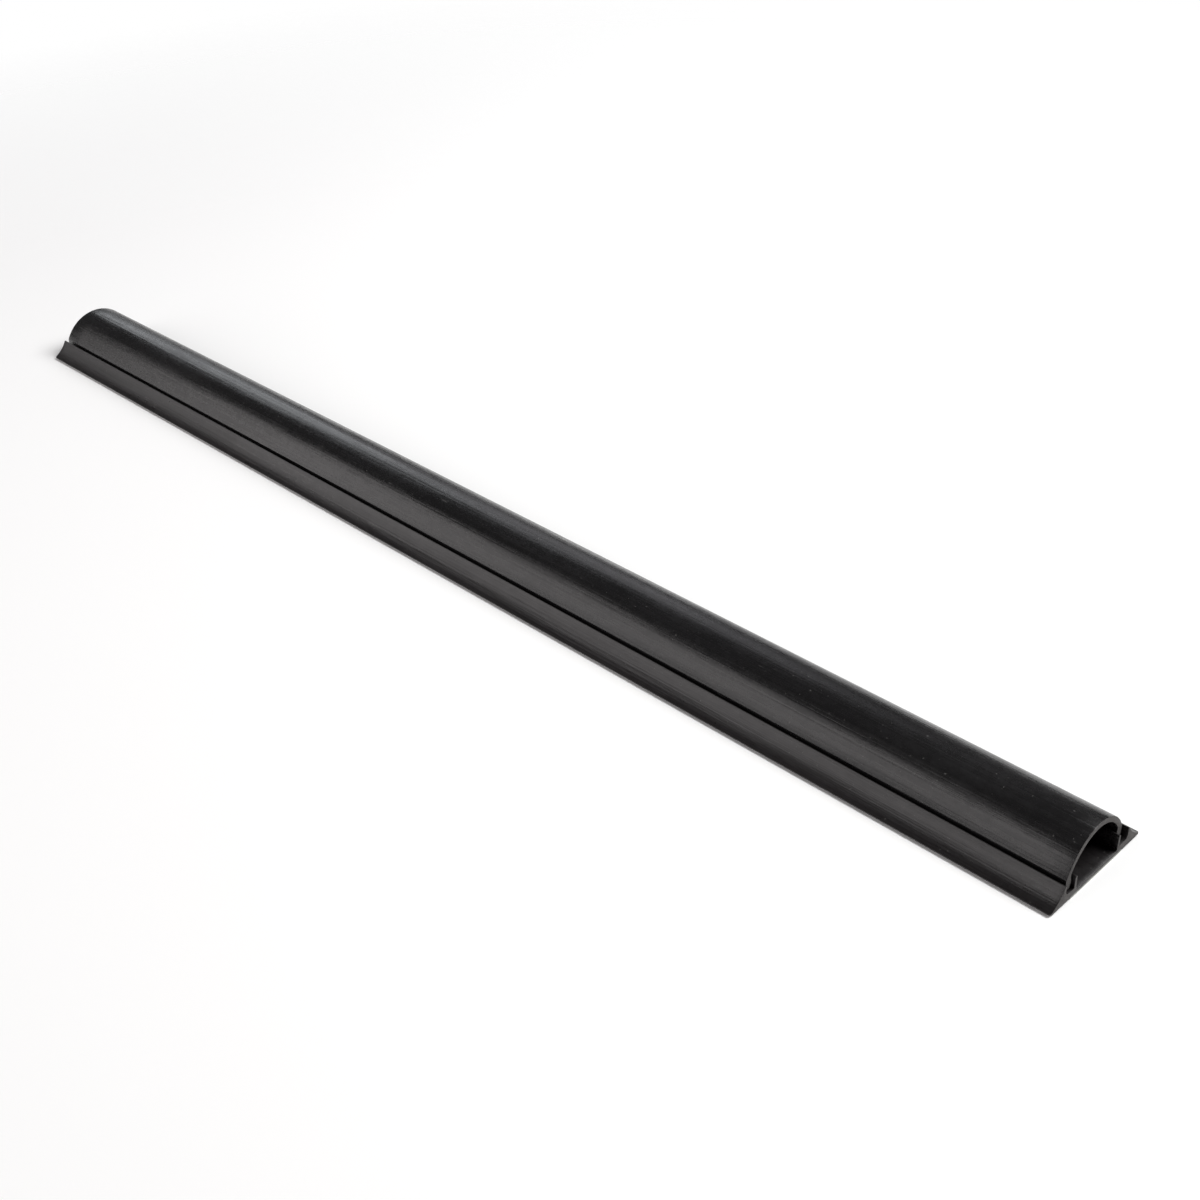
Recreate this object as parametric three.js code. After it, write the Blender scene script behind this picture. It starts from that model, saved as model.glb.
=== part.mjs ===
// Half-round floor cable duct with ramp wings: a base profile, a clip-on arched cover,
// a mounting tape in the base's shallow recess, and the tape's release liner.
// Millimetres. +X runs along the duct, +Z is up, and Z = 0 is the underside of the liner.

import * as THREE from 'three';

// Overall
const LENGTH = 1000;
const BASE_WIDTH = 84;
const MESH_GAP = 0.3;

// Mounting tape and liner
const LINER_THICKNESS = 0.3;
const TAPE_THICKNESS = 0.9;
const TAPE_HALF_WIDTH = 24.2;
const LINER_HALF_WIDTH = 24.5;
const RECESS_HALF_WIDTH = 24.6;
const RECESS_DEPTH = 0.8;
const TAPE_BOTTOM = LINER_THICKNESS + MESH_GAP;
const RECESS_CEILING = TAPE_BOTTOM + TAPE_THICKNESS + MESH_GAP;
const WING_UNDERSIDE = RECESS_CEILING - RECESS_DEPTH;

// Base profile: heights are above the wings' underside
const FLOOR_TOP = 2.6;
const FLOOR_FILLET = 0.5;
const RIB_INNER_FOOT = 19.2;
const RIB_INNER_HEAD = 19.5;
const RIB_HEAD_RADIUS = 0.85;
const RIB_HEAD_HEIGHT = 11.9;
const RIB_OUTER_FOOT = 21.2;
const POCKET_FLOOR = 4.8;
const POCKET_FILLET = 3.2;
const POCKET_WALL = 29.1;
const LIP_RADIUS = 0.45;
const LIP_HEIGHT = 11.5;
const WING_SAG = 1.3;
const TOE_RADIUS = 0.4;

// Cover: an arch of even wall, on two thick straight feet with a bead along each inner face
const ARCH_HALF_WIDTH = 30.4;
const ARCH_RISE = 33.0;
const ARCH_CENTRE = -0.8;
const WALL = 3.5;
const FOOT_INNER = 22.9;
const FOOT_OUTER = 27.5;
const FOOT_CLEARANCE = 0.9;
const FOOT_BOTTOM = POCKET_FLOOR + FOOT_CLEARANCE;
const FOOT_OUTER_RADIUS = 2.2;
const BEAD_INNER = 22.0;
const BEAD_HEIGHT = 9.2;
const BEAD_RADIUS = 1.6;

const ARC_STEPS = 5;
const ARCH_STEPS = 24;
const WING_STEPS = 10;

const black = (roughness) => new THREE.MeshStandardMaterial({ color: 0x1b1b1d, roughness, metalness: 0 });
const foam = new THREE.MeshStandardMaterial({ color: 0x3a3b3c, roughness: 0.95, metalness: 0 });
const liner = new THREE.MeshStandardMaterial({ color: 0xe6e4dc, roughness: 0.55, metalness: 0 });

// Points along part of an ellipse, both ends included
function ellipsePoints(centreY, centreZ, radiusY, radiusZ, startAngle, endAngle, steps) {
  const points = [];
  for (let i = 0; i <= steps; i += 1) {
    const angle = startAngle + ((endAngle - startAngle) * i) / steps;
    points.push(new THREE.Vector2(centreY + radiusY * Math.cos(angle), centreZ + radiusZ * Math.sin(angle)));
  }
  return points;
}

const arcPoints = (centreY, centreZ, radius, startAngle, endAngle) =>
  ellipsePoints(centreY, centreZ, radius, radius, startAngle, endAngle, ARC_STEPS);

// The wing's top, hollowed by WING_SAG between the toe and the lip
function wingTop(toe, lip) {
  const chord = lip.clone().sub(toe);
  const inward = new THREE.Vector2(-chord.y, chord.x).normalize();
  const control = toe.clone().add(lip).multiplyScalar(0.5).addScaledVector(inward, 2 * WING_SAG);
  return new THREE.QuadraticBezierCurve(toe, control, lip).getPoints(WING_STEPS);
}

// A closed outline from its half at positive Y, listed from the middle at the bottom outwards
function mirrored(half) {
  const otherHalf = half.map((point) => new THREE.Vector2(-point.x, point.y)).reverse();
  return [...half, ...otherHalf];
}

function baseOutline() {
  const quarter = Math.PI / 2;
  const toeCentre = BASE_WIDTH / 2 - TOE_RADIUS;
  const lipCentre = POCKET_WALL + LIP_RADIUS;
  const toeArc = arcPoints(toeCentre, TOE_RADIUS, TOE_RADIUS, -quarter, quarter / 2);
  const lipArc = arcPoints(lipCentre, LIP_HEIGHT, LIP_RADIUS, quarter / 2, 2 * quarter);
  const ribCentre = RIB_INNER_HEAD + RIB_HEAD_RADIUS;
  return mirrored([
    new THREE.Vector2(RECESS_HALF_WIDTH, RECESS_DEPTH),
    new THREE.Vector2(RECESS_HALF_WIDTH, 0),
    ...toeArc,
    ...wingTop(toeArc.at(-1), lipArc[0]).slice(1, -1),
    ...lipArc,
    ...arcPoints(POCKET_WALL - POCKET_FILLET, POCKET_FLOOR + POCKET_FILLET, POCKET_FILLET, 0, -quarter),
    new THREE.Vector2(RIB_OUTER_FOOT, POCKET_FLOOR),
    ...arcPoints(ribCentre, RIB_HEAD_HEIGHT, RIB_HEAD_RADIUS, 0, 2 * quarter),
    new THREE.Vector2(RIB_INNER_FOOT, FLOOR_TOP + FLOOR_FILLET),
    new THREE.Vector2(RIB_INNER_FOOT - FLOOR_FILLET, FLOOR_TOP),
  ]);
}

function coverOutline() {
  const quarter = Math.PI / 2;
  const outerStart = Math.acos(FOOT_OUTER / ARCH_HALF_WIDTH);
  const innerHalfWidth = ARCH_HALF_WIDTH - WALL;
  const innerStart = Math.acos(FOOT_INNER / innerHalfWidth);
  const crown = quarter - quarter / ARCH_STEPS / 2;
  return mirrored([
    ...ellipsePoints(0, ARCH_CENTRE, innerHalfWidth, ARCH_RISE - WALL, crown, innerStart, ARCH_STEPS),
    new THREE.Vector2(FOOT_INNER, BEAD_HEIGHT + 2 * BEAD_RADIUS),
    ...arcPoints(BEAD_INNER + BEAD_RADIUS, BEAD_HEIGHT, BEAD_RADIUS, 1.6 * quarter, 2.5 * quarter),
    new THREE.Vector2(FOOT_INNER + BEAD_RADIUS / 2, FOOT_BOTTOM),
    ...arcPoints(FOOT_OUTER - FOOT_OUTER_RADIUS, FOOT_BOTTOM + FOOT_OUTER_RADIUS, FOOT_OUTER_RADIUS, -quarter, 0),
    ...ellipsePoints(0, ARCH_CENTRE, ARCH_HALF_WIDTH, ARCH_RISE, outerStart, crown, ARCH_STEPS),
  ]);
}

const stripOutline = (halfWidth, bottom, top) => mirrored([
  new THREE.Vector2(halfWidth, bottom),
  new THREE.Vector2(halfWidth, top),
]);

// A named piece of full length: the outline's two axes are the part's Y and Z
function profile(name, outline, height, material) {
  const shape = new THREE.Shape(outline);
  const geometry = new THREE.ExtrudeGeometry(shape, { depth: LENGTH, bevelEnabled: false, steps: 1 });
  const acrossUpAlong = new THREE.Matrix4().makeBasis(
    new THREE.Vector3(0, 1, 0),
    new THREE.Vector3(0, 0, 1),
    new THREE.Vector3(1, 0, 0),
  );
  geometry.applyMatrix4(acrossUpAlong);
  const mesh = new THREE.Mesh(geometry, material);
  mesh.name = name;
  mesh.position.set(-LENGTH / 2, 0, height);
  return mesh;
}

const duct = new THREE.Group();
duct.add(
  profile('base_profile', baseOutline(), WING_UNDERSIDE, black(0.5)),
  profile('arched_cover', coverOutline(), WING_UNDERSIDE, black(0.42)),
  profile('mounting_tape', stripOutline(TAPE_HALF_WIDTH, TAPE_BOTTOM, TAPE_BOTTOM + TAPE_THICKNESS), 0, foam),
  profile('release_liner', stripOutline(LINER_HALF_WIDTH, 0, LINER_THICKNESS), 0, liner),
);

export default duct;
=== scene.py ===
"""The looks of a floor cable duct: satin black extrusions, sawn ends, foam tape and its pale liner."""

import math

import bmesh
import bpy
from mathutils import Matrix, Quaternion, Vector


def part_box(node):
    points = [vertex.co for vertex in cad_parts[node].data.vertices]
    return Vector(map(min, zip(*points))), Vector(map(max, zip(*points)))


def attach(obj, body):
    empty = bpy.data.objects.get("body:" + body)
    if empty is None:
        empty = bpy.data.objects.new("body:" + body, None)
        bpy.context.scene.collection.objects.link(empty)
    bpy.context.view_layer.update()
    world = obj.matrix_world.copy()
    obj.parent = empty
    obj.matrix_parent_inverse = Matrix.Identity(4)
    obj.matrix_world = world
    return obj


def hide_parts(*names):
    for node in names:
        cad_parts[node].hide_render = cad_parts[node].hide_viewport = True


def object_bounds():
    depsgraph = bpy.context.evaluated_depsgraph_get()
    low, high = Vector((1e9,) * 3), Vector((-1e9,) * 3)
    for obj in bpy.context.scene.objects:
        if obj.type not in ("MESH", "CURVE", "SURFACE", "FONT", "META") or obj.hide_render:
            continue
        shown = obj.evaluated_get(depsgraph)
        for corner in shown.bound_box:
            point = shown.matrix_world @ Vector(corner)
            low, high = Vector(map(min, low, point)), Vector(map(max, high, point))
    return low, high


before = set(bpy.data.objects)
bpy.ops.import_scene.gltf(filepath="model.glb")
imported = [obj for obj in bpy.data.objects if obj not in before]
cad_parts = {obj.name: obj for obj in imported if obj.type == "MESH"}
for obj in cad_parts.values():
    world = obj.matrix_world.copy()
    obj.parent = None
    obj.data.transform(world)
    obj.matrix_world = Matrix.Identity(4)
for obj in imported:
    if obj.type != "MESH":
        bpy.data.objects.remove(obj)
CAD_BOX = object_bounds()

MM = 0.001

# Camera: its place in metres in the part's frame, turns in degrees, lens and sensor in millimetres
CAMERA_PLACE = Vector((0.793, -0.600, 0.611))
CAMERA_YAW = -47.64
CAMERA_PITCH = 34.08
CAMERA_ROLL = -3.72
CAMERA_LENS = 49.83
CAMERA_SENSOR = 36.0
CAMERA_CLIP_START = 0.01

# Mesh clean-up: distances in millimetres, angles in degrees
WELD_DISTANCE = 0.002
END_TOLERANCE = 0.01
CUT_TOLERANCE = 0.0001
FLAT_ANGLE = 0.2
SHARP_ANGLE = 20

# Edges of the sawn ends: bevels in millimetres, and their segments and roundness
BASE_BEVEL = 0.22
COVER_BEVEL = 0.3
TAPE_BEVEL = 0.15
LINER_BEVEL = 0.04
BEVEL_SEGMENTS = 2
BEVEL_PROFILE = 0.6

# A face is sawn if it lies within this many millimetres of an end and its normal has more X than this
SAWN_REACH = 6
SAWN_FACING = 0.35

# Rings of edges added between the two ends of each piece
STATIONS = 48

# Wing corners in millimetres: their radius, the lengthwise cuts that shape them, and a ring inside each end
WING_CORNER = 1.8
CORNER_CUTS = (0.2, 0.5, 0.9, 1.4)
CORNER_RING = 3

# The cover's saw cuts in millimetres: setback at -Y, setback at +Y, and what the crown adds to them.
# The skew fades out over a length of the cover.
NEAR_CUT = (1.5, 3.3, 0.0)
FAR_CUT = (1.6, 3.0, 4.5)
SKEW_REACH = 40

# Linear colours: each surface, then its scuffs, pale parts or shading
BASE_BLACK = (0.0066, 0.0056, 0.0058)
BASE_SCUFF = (0.13, 0.125, 0.12)
COVER_BLACK = (0.0048, 0.0045, 0.0048)
COVER_SCUFF = (0.14, 0.135, 0.13)
SAWN_DARK = (0.026, 0.023, 0.022)
SAWN_PALE = (0.085, 0.079, 0.076)
FOAM_GREY = (0.16, 0.165, 0.155)
FOAM_PALE = (0.36, 0.37, 0.35)
LINER_CREAM = (0.78, 0.77, 0.72)
LINER_SHADE = (0.62, 0.62, 0.58)
FLOOR_WHITE = (0.96, 0.96, 0.955)
WHITE = (1, 1, 1)

# Plastic: how many times brighter its palest clouds are, and how much roughness its marks add
CLOUD_GAIN = 1.8
MARK_ROUGHNESS = 0.25

# The saw blade's slant across the cut, in degrees
BLADE_SLANT = 24

# Stage: the floor fades out between two distances from its middle, in metres, and lies just under the part
FLOOR_FADE = (0.75, 1.5)
FLOOR_GAP = 0.02
AMBIENT_STRENGTH = 0.08

# The Mix node's colour sockets share their names with others, so they are found by number
MIX_COLOUR_INPUTS = (6, 7)
MIX_COLOUR_OUTPUT = 2


# Shapes

def clean_copy(node, name):
    """A new object from a CAD node, and its welded mesh open for editing, each flat end as one face."""
    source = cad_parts[node]
    mesh = source.data.copy()
    mesh.name = name
    mesh.materials.clear()
    piece = bpy.data.objects.new(name, mesh)
    bpy.context.scene.collection.objects.link(piece)
    form = bmesh.new()
    form.from_mesh(mesh)
    bmesh.ops.remove_doubles(form, verts=form.verts, dist=WELD_DISTANCE * MM)
    flat = math.radians(FLAT_ANGLE)
    bmesh.ops.dissolve_limit(form, angle_limit=flat, verts=form.verts, edges=form.edges)
    return piece, form


def end_edges(form, ends):
    """The edges around both sawn ends."""
    found = []
    for edge in form.edges:
        at_ends = [all(abs(v.co.x - end) < END_TOLERANCE * MM for v in edge.verts) for end in ends]
        if any(at_ends) and len(edge.link_faces) == 2:
            found.append(edge)
    return found


def cut_across(form, axis, places):
    """Adds a ring of edges at each place along one axis."""
    direction = Vector([1.0 if i == axis else 0.0 for i in range(3)])
    for place in places:
        geometry = form.verts[:] + form.edges[:] + form.faces[:]
        bmesh.ops.bisect_plane(form, geom=geometry, dist=CUT_TOLERANCE * MM,
                               plane_co=direction * place, plane_no=direction)


def finish_mesh(piece, form, ends):
    """Writes the mesh back: sawn faces take the second material, and soft edges shade smoothly."""
    low, high = ends
    reach = SAWN_REACH * MM
    form.normal_update()
    for face in form.faces:
        middle = face.calc_center_median().x
        near_end = middle < low + reach or middle > high - reach
        sawn = near_end and abs(face.normal.x) > SAWN_FACING
        face.material_index = 1 if sawn else 0
        face.smooth = True
    for edge in form.edges:
        edge.smooth = len(edge.link_faces) == 2 and edge.calc_face_angle(0) < math.radians(SHARP_ANGLE)
    form.to_mesh(piece.data)
    form.free()
    piece.data.update()


def round_wing_corners(form, ends, half_width):
    """Rounds the four outer corners of the wings, seen from above."""
    low, high = ends
    radius = WING_CORNER * MM
    for vertex in form.verts:
        past = abs(vertex.co.y) - (half_width - radius)
        if past > 0:
            inset = radius - math.sqrt(max(radius * radius - past * past, 0.0))
            vertex.co.x = min(max(vertex.co.x, low + inset), high - inset)


def skew_ends(form, ends, half_width, bottom, top):
    """Slants the cover's two saw cuts: more setback on the +Y side, and the far one leans back too."""
    reach = SKEW_REACH * MM
    cuts = ((ends[0], 1, FAR_CUT), (ends[1], -1, NEAR_CUT))
    for vertex in form.verts:
        side = 0.5 + 0.5 * vertex.co.y / half_width
        height = (vertex.co.z - bottom) / (top - bottom)
        for end, inward, (left, right, lean) in cuts:
            nearness = max(0.0, 1.0 - abs(vertex.co.x - end) / reach)
            setback = left + (right - left) * side + lean * height
            vertex.co.x += inward * nearness * MM * setback


def stations(ends):
    """Even places along the piece, between its ends."""
    low, high = ends
    return [low + (high - low) * (i + 1) / (STATIONS + 1) for i in range(STATIONS)]


def inside(ends, depth):
    """The two places that stand some millimetres in from the ends."""
    return [ends[0] + depth * MM, ends[1] - depth * MM]


def make_piece(node, name, bevel, body, skin, cut, corners=False, skewed=False):
    """A finished extrusion: bevelled ends, extra rings along it, and materials for its skin and cut ends."""
    low_corner, high_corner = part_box(node)
    ends = (low_corner.x, high_corner.x)
    half_width = high_corner.y
    piece, form = clean_copy(node, name)
    if corners:
        places = [half_width - cut_in * MM for cut_in in CORNER_CUTS]
        cut_across(form, 1, places + [-place for place in places])
        cut_across(form, 0, inside(ends, CORNER_RING))
        round_wing_corners(form, ends, half_width)
    if skewed:
        cut_across(form, 0, inside(ends, SKEW_REACH))
    bmesh.ops.bevel(form, geom=end_edges(form, ends), offset=bevel * MM, segments=BEVEL_SEGMENTS,
                    profile=BEVEL_PROFILE, affect="EDGES", clamp_overlap=True)
    cut_across(form, 0, stations(ends))
    if skewed:
        skew_ends(form, ends, half_width, low_corner.z, high_corner.z)
    finish_mesh(piece, form, ends)
    piece.data.materials.append(skin)
    piece.data.materials.append(cut)
    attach(piece, body)
    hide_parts(node)


# Material nodes

def new_material(name):
    """A new material, its node tree and its main shader."""
    material = bpy.data.materials.new(name)
    material.use_nodes = True
    return material, material.node_tree, material.node_tree.nodes["Principled BSDF"]


def link(tree, source, target):
    """Joins an output socket to an input socket."""
    tree.links.new(source, target)


def object_coordinates(tree):
    """The place on the object itself, in metres."""
    return tree.nodes.new("ShaderNodeTexCoord").outputs["Object"]


def noise(tree, where, scale, stretch=(1, 1, 1), detail=4.0, roughness=0.55, shift=(0, 0, 0)):
    """Noise over a place, with its own factor along each axis, and shifted to a part of its own."""
    mapping = tree.nodes.new("ShaderNodeMapping")
    mapping.inputs["Scale"].default_value = stretch
    mapping.inputs["Location"].default_value = shift
    link(tree, where, mapping.inputs["Vector"])
    texture = tree.nodes.new("ShaderNodeTexNoise")
    texture.inputs["Scale"].default_value = scale
    texture.inputs["Detail"].default_value = detail
    texture.inputs["Roughness"].default_value = roughness
    link(tree, mapping.outputs["Vector"], texture.inputs["Vector"])
    return texture.outputs["Fac"]


def remap(tree, value, source, target=(0.0, 1.0)):
    """Maps one range of values onto another, and holds what lies beyond it at the range's ends."""
    node = tree.nodes.new("ShaderNodeMapRange")
    node.inputs["From Min"].default_value = source[0]
    node.inputs["From Max"].default_value = source[1]
    node.inputs["To Min"].default_value = target[0]
    node.inputs["To Max"].default_value = target[1]
    link(tree, value, node.inputs["Value"])
    return node.outputs["Result"]


def math_node(tree, operation, first, second):
    """One operation on two values, each a number or a socket."""
    node = tree.nodes.new("ShaderNodeMath")
    node.operation = operation
    for socket, value in zip(node.inputs, (first, second)):
        if isinstance(value, (int, float)):
            socket.default_value = value
        else:
            link(tree, value, socket)
    return node.outputs["Value"]


def weighted_sum(tree, first, *others):
    """The sum of pairs of a value and its weight."""
    total = math_node(tree, "MULTIPLY", *first)
    for value, weight in others:
        total = math_node(tree, "ADD", total, math_node(tree, "MULTIPLY", value, weight))
    return total


def mix_colour(tree, factor, first, second):
    """A blend of two colours, each a tuple or a socket."""
    node = tree.nodes.new("ShaderNodeMix")
    node.data_type = "RGBA"
    link(tree, factor, node.inputs["Factor"])
    for number, value in zip(MIX_COLOUR_INPUTS, (first, second)):
        if isinstance(value, tuple):
            node.inputs[number].default_value = (*value, 1.0)
        else:
            link(tree, value, node.inputs[number])
    return node.outputs[MIX_COLOUR_OUTPUT]


def bump(tree, *layers):
    """A normal bumped by one layer after another: each is a height, a strength and a depth in metres."""
    normal = None
    for height, strength, depth in layers:
        node = tree.nodes.new("ShaderNodeBump")
        node.inputs["Strength"].default_value = strength
        node.inputs["Distance"].default_value = depth
        link(tree, height, node.inputs["Height"])
        if normal is not None:
            link(tree, normal, node.inputs["Normal"])
        normal = node.outputs["Normal"]
    return normal


# Materials

def black_plastic(name, colour, pale, roughness, scuffs):
    """Satin extruded plastic: die lines along the length, cloudy sheen, dust and light scuffs."""
    material, tree, shader = new_material(name)
    where = object_coordinates(tree)
    die_lines = noise(tree, where, 14, stretch=(0.4, 60, 60), detail=3)
    fine_lines = noise(tree, where, 10, stretch=(0.6, 260, 260), detail=2)
    cloud = noise(tree, where, 22, stretch=(0.35, 1, 1))
    grain = noise(tree, where, 2600, detail=2)
    streak = noise(tree, where, 8, stretch=(0.12, 30, 30), detail=3, shift=(3, 1, 2))
    shade = remap(tree, math_node(tree, "ADD", streak, cloud), (0.75, 1.3))
    tint = mix_colour(tree, shade, colour, tuple(channel * CLOUD_GAIN for channel in colour))

    dust = noise(tree, where, 520, detail=2, roughness=0.5, shift=(5, 2, 9))
    specks = remap(tree, dust, (0.715, 0.765), (0.0, 0.5))
    rubbed = noise(tree, where, 330, stretch=(0.18, 1.6, 1.6), detail=3, roughness=0.5, shift=(1, 8, 4))
    scratches = remap(tree, rubbed, (0.66, 0.78), (0.0, scuffs))
    spots = noise(tree, where, 16, stretch=(0.5, 1, 1), detail=2, roughness=0.5, shift=(7, 3, 1))
    patches = remap(tree, spots, (0.50, 0.64))
    worn = math_node(tree, "MULTIPLY", scratches, patches)
    marks = math_node(tree, "MAXIMUM", specks, worn)
    link(tree, mix_colour(tree, marks, tint, pale), shader.inputs["Base Color"])

    mottle = noise(tree, where, 230, stretch=(0.7, 1, 1), detail=5, roughness=0.75, shift=(2, 6, 3))
    sheen = weighted_sum(tree, (die_lines, 0.3), (cloud, 0.3), (mottle, 0.4))
    satin = remap(tree, sheen, (0.38, 0.62), roughness)
    dulled = math_node(tree, "MULTIPLY", marks, MARK_ROUGHNESS)
    link(tree, math_node(tree, "ADD", satin, dulled), shader.inputs["Roughness"])

    ripple = noise(tree, where, 95, stretch=(0.16, 1, 1), detail=3, roughness=0.5, shift=(4, 4, 4))
    surface = bump(tree, (ripple, 0.5, 0.0007), (mottle, 0.5, 0.00022), (die_lines, 0.5, 0.00026),
                   (fine_lines, 0.4, 0.00005), (grain, 0.3, 0.00003))
    link(tree, surface, shader.inputs["Normal"])
    return material


def sawn_plastic(name, colour, pale):
    """A saw-cut end of the same plastic: matte, greyed, with slanting blade marks."""
    material, tree, shader = new_material(name)
    where = object_coordinates(tree)
    turn = tree.nodes.new("ShaderNodeMapping")
    turn.inputs["Rotation"].default_value = (math.radians(BLADE_SLANT), 0, 0)
    link(tree, where, turn.inputs["Vector"])
    blade = noise(tree, turn.outputs["Vector"], 160, stretch=(1, 1, 14), detail=3)
    grit = noise(tree, where, 1500, detail=3)
    smear = noise(tree, where, 90, detail=3, roughness=0.6, shift=(2, 2, 2))
    paleness = remap(tree, weighted_sum(tree, (blade, 0.5), (smear, 0.5)), (0.36, 0.66))
    link(tree, mix_colour(tree, paleness, colour, pale), shader.inputs["Base Color"])
    link(tree, remap(tree, grit, (0.3, 0.7), (0.62, 0.85)), shader.inputs["Roughness"])
    link(tree, bump(tree, (blade, 0.5, 0.00008), (grit, 0.3, 0.00004)), shader.inputs["Normal"])
    return material


def foam_material(name, colour, pale):
    """Closed-cell foam: small round cells that show on the cut edges, with painted shade darkening the pit
    of each cell.
    """
    material, tree, shader = new_material(name)
    where = object_coordinates(tree)
    cells = tree.nodes.new("ShaderNodeTexVoronoi")
    cells.inputs["Scale"].default_value = 2400
    link(tree, where, cells.inputs["Vector"])
    cloud = noise(tree, where, 300, detail=3)
    depth = remap(tree, cells.outputs["Distance"], (0.1, 0.6))
    # Painted shade: each cell is darker in its middle, where the bump below sinks a pit; the cloud adds
    # random tone on top
    paleness = math_node(tree, "MULTIPLY", depth, cloud)
    link(tree, mix_colour(tree, paleness, colour, pale), shader.inputs["Base Color"])
    shader.inputs["Roughness"].default_value = 0.93
    link(tree, bump(tree, (depth, 0.5, 0.0001)), shader.inputs["Normal"])
    return material


def liner_material(name, colour, shade):
    """Waxed paper film: faint fibres and a soft sheen."""
    material, tree, shader = new_material(name)
    where = object_coordinates(tree)
    fibres = noise(tree, where, 900, detail=5, roughness=0.65)
    cloud = noise(tree, where, 40, stretch=(0.4, 1, 1))
    brightness = remap(tree, math_node(tree, "MULTIPLY", fibres, cloud), (0.15, 0.38))
    link(tree, mix_colour(tree, brightness, shade, colour), shader.inputs["Base Color"])
    link(tree, remap(tree, cloud, (0.3, 0.7), (0.42, 0.6)), shader.inputs["Roughness"])
    link(tree, bump(tree, (fibres, 0.25, 0.00003)), shader.inputs["Normal"])
    return material


def floor_material():
    """A plain white studio floor that fades into the backdrop away from the object."""
    material, tree, shader = new_material("studio_floor")
    away = tree.nodes.new("ShaderNodeVectorMath")
    away.operation = "LENGTH"
    link(tree, object_coordinates(tree), away.inputs[0])
    clear = tree.nodes.new("ShaderNodeBsdfTransparent")
    blend = tree.nodes.new("ShaderNodeMixShader")
    link(tree, remap(tree, away.outputs["Value"], FLOOR_FADE), blend.inputs["Fac"])
    link(tree, shader.outputs["BSDF"], blend.inputs[1])
    link(tree, clear.outputs["BSDF"], blend.inputs[2])
    link(tree, blend.outputs["Shader"], tree.nodes["Material Output"].inputs["Surface"])
    shader.inputs["Base Color"].default_value = (*FLOOR_WHITE, 1)
    shader.inputs["Roughness"].default_value = 0.9
    shader.inputs["Specular IOR Level"].default_value = 0.1
    return material


# Stage

def add_floor():
    """A square floor just under the part, reaching as far as its fade."""
    size = FLOOR_FADE[1]
    level = CAD_BOX[0][2] - FLOOR_GAP * MM
    corners = [(-size, -size, level), (size, -size, level), (size, size, level), (-size, size, level)]
    mesh = bpy.data.meshes.new("studio_floor")
    mesh.from_pydata(corners, [], [(0, 1, 2, 3)])
    mesh.materials.append(floor_material())
    floor = bpy.data.objects.new("studio_floor", mesh)
    bpy.context.scene.collection.objects.link(floor)


def add_panel(name, place, size, watts, target=(0, 0, 0), colour=WHITE, turn=0):
    """A rectangular softbox that faces a point, turned about its own axis by some degrees."""
    light = bpy.data.lights.new(name, "AREA")
    light.shape = "RECTANGLE"
    light.size, light.size_y = size
    light.energy = watts
    light.color = colour
    panel = bpy.data.objects.new(name, light)
    panel.location = place
    facing = (Vector(target) - Vector(place)).to_track_quat("-Z", "Y")
    panel.rotation_euler = (facing @ Quaternion((0, 0, 1), math.radians(turn))).to_euler()
    bpy.context.scene.collection.objects.link(panel)


def add_world():
    """A white backdrop to look at, and a dimmer even light from it."""
    world = bpy.data.worlds.new("studio")
    world.use_nodes = True
    tree = world.node_tree
    ambient = tree.nodes["Background"]
    ambient.inputs["Strength"].default_value = AMBIENT_STRENGTH
    ambient.inputs["Color"].default_value = (*WHITE, 1)
    backdrop = tree.nodes.new("ShaderNodeBackground")
    backdrop.inputs["Color"].default_value = (*WHITE, 1)
    seen = tree.nodes.new("ShaderNodeLightPath")
    blend = tree.nodes.new("ShaderNodeMixShader")
    link(tree, seen.outputs["Is Camera Ray"], blend.inputs["Fac"])
    link(tree, ambient.outputs["Background"], blend.inputs[1])
    link(tree, backdrop.outputs["Background"], blend.inputs[2])
    link(tree, blend.outputs["Shader"], tree.nodes["World Output"].inputs["Surface"])
    bpy.context.scene.world = world


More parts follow.
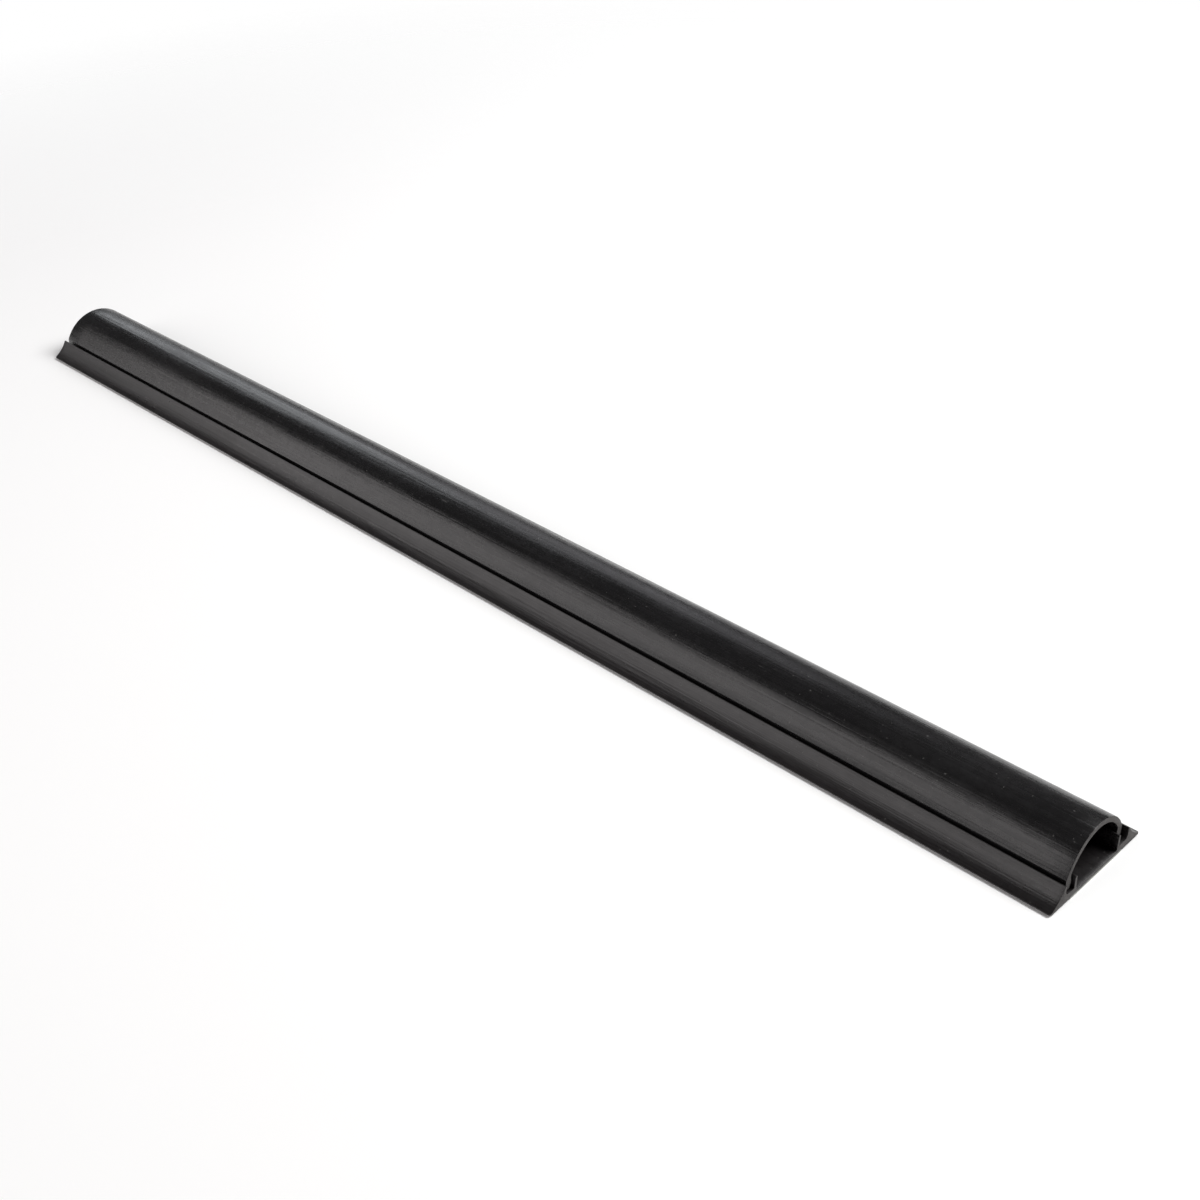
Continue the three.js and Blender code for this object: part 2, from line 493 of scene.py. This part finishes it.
def add_camera():
    """The camera, placed as for the photograph and rolled a little about its own axis."""
    data = bpy.data.cameras.new("camera")
    data.sensor_width = CAMERA_SENSOR
    data.lens = CAMERA_LENS
    data.clip_start = CAMERA_CLIP_START
    camera = bpy.data.objects.new("camera", data)
    yaw = math.radians(CAMERA_YAW)
    pitch = math.radians(CAMERA_PITCH)
    level = math.cos(pitch)
    ahead = Vector((math.sin(yaw) * level, math.cos(yaw) * level, -math.sin(pitch)))
    roll = Quaternion((0, 0, 1), math.radians(CAMERA_ROLL))
    camera.location = CAMERA_PLACE
    camera.rotation_euler = (ahead.to_track_quat("-Z", "Y") @ roll).to_euler()
    bpy.context.scene.collection.objects.link(camera)
    bpy.context.scene.camera = camera


base_plastic = black_plastic("base_plastic", BASE_BLACK, BASE_SCUFF, roughness=(0.25, 0.42), scuffs=0.35)
cover_plastic = black_plastic("cover_plastic", COVER_BLACK, COVER_SCUFF, roughness=(0.18, 0.36), scuffs=0.5)
sawn_end = sawn_plastic("sawn_end", SAWN_DARK, SAWN_PALE)
foam = foam_material("tape_foam", FOAM_GREY, FOAM_PALE)
film = liner_material("liner_film", LINER_CREAM, LINER_SHADE)

make_piece("base_profile", "base_extrusion", BASE_BEVEL, "base",
           skin=base_plastic, cut=sawn_end, corners=True)
make_piece("arched_cover", "cover_extrusion", COVER_BEVEL, "cover",
           skin=cover_plastic, cut=sawn_end, skewed=True)
make_piece("mounting_tape", "foam_tape", TAPE_BEVEL, "base", skin=foam, cut=foam)
make_piece("release_liner", "liner_strip", LINER_BEVEL, "base", skin=film, cut=film)

bpy.context.scene.view_settings.view_transform = "Standard"
add_floor()
add_world()
add_panel("front_left_panel", place=(-1.2, -2.05, 1.15), size=(3.4, 2.0), watts=41,
          colour=(1.0, 0.958, 0.96), turn=14)
add_panel("far_panel", place=(-2.3, 1.15, 1.1), size=(0.9, 1.15), watts=5.6,
          target=(-0.3, 0, 0), colour=(0.93, 0.96, 1.0))
add_panel("back_panel", place=(-1.6, 1.75, 1.25), size=(1.1, 1.3), watts=4.2, colour=(0.96, 0.95, 1.0))
add_panel("overhead", place=(1.4, 1.7, 2.2), size=(1.8, 1.4), watts=116)
add_camera()
